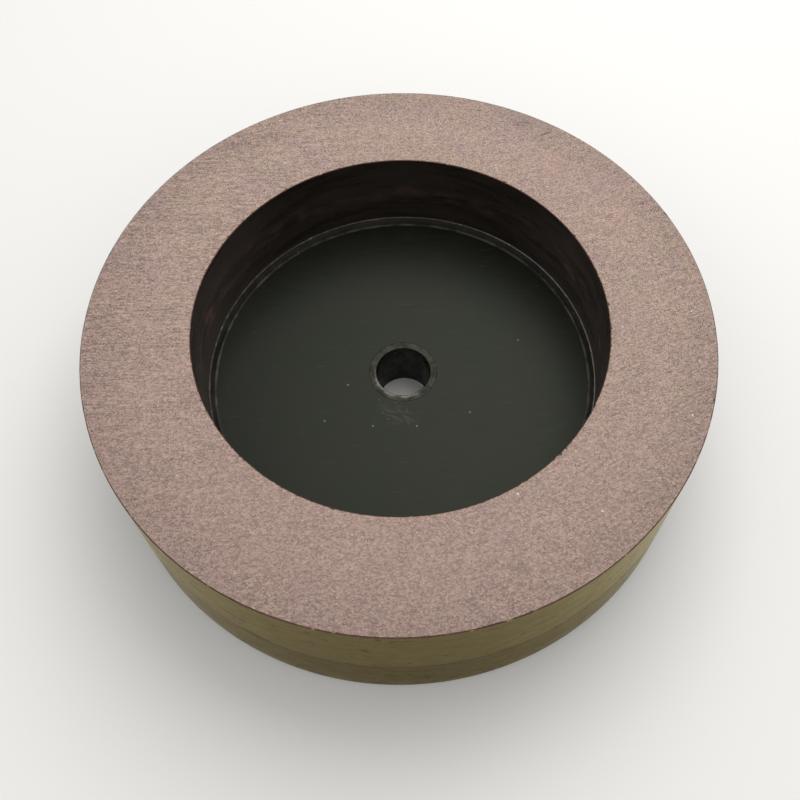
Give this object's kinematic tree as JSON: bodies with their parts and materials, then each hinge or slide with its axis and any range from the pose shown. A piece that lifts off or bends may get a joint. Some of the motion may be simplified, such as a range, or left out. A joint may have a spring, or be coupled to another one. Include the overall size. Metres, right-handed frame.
{
  "type": "diamond grinding wheel",
  "caption": "Straight cup grinding wheel: a thick resin-bonded diamond rim on a dark moulded backing, with a shallow cup and a small central bore.",
  "frame": {"origin": "centre of the back face, where the bore's axis meets the surface that the wheel lies on", "axes": "+Z along the wheel's axis, from the back face to the grinding face; X and Y are equivalent because the wheel is a body of revolution"},
  "size_m": [0.13, 0.13, 0.0363],
  "materials": {
    "abrasive": "ground resin-bonded abrasive, matte mauve brown with a fine grit and lay",
    "adhesive": "cured adhesive, dull grey brown with pale spots, half glossy",
    "backing": "moulded phenolic, near black with a green cast, satin",
    "bush": "dull grey turned metal"
  },
  "bodies": {
    "root": {"abrasive_rim": "abrasive", "bond_film": "adhesive", "backing_body": "backing", "bore_bush": "bush"}
  },
  "joints": []
}
